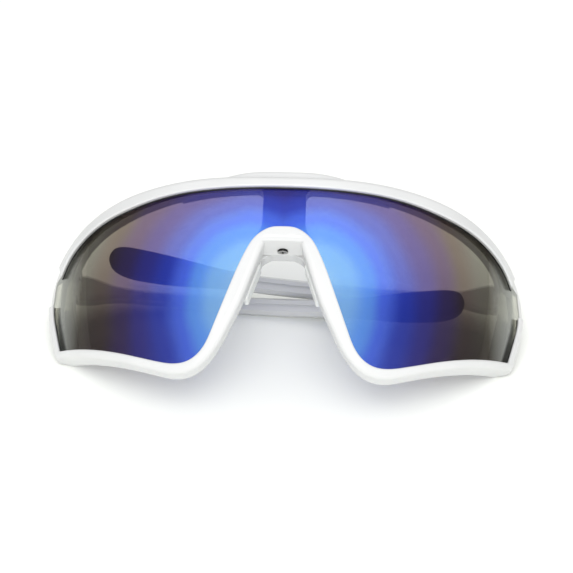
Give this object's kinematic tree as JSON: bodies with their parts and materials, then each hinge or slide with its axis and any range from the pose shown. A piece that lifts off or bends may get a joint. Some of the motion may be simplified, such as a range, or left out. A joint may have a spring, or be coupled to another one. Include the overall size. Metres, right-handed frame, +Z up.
{
  "type": "sunglasses",
  "caption": "Folded wraparound sport sunglasses: mirrored shield lens in a full white rim, nose piece, and hinged temples with soft dark tips.",
  "frame": {"origin": "bottom centre of the bounding box of the folded glasses, on the table they lie on", "axes": "+X towards the wearer's left, across the face; -Y where the lens faces; +Z up from the table. The front frame leans back about 53 degrees."},
  "size_m": [0.146, 0.0668, 0.0608],
  "materials": {
    "white_frame": "glossy moulded white",
    "mirror_lens": "blue to violet mirror coating on a grey tint",
    "nose_rubber": "soft milky white",
    "tip_rubber": "matt black",
    "steel": "plain small screws"
  },
  "bodies": {
    "front": {"frame_front": "white_frame", "lens": "mirror_lens", "nose_bridge": "white_frame", "nose_screw": "steel", "nose_pad_left": "nose_rubber", "nose_pad_right": "nose_rubber", "hinge_screw_left": "steel", "hinge_screw_right": "steel", "hinge_nut_left": "steel", "hinge_nut_right": "steel"},
    "temple_left": {"temple_left": "white_frame", "temple_tip_left": "tip_rubber"},
    "temple_right": {"temple_right": "white_frame", "temple_tip_right": "tip_rubber"}
  },
  "joints": [
    {"name": "open_left", "type": "hinge", "parent": "front", "child": "temple_left", "pos_m": [0.0665, 0.02348, 0.01089], "axis": [-0.0488, -0.7948, -0.6048], "range_deg": [0, 90]},
    {"name": "open_right", "type": "hinge", "parent": "front", "child": "temple_right", "pos_m": [-0.0665, 0.02348, 0.01089], "axis": [0.0488, 0.7948, 0.6048], "range_deg": [0, 90]}
  ]
}
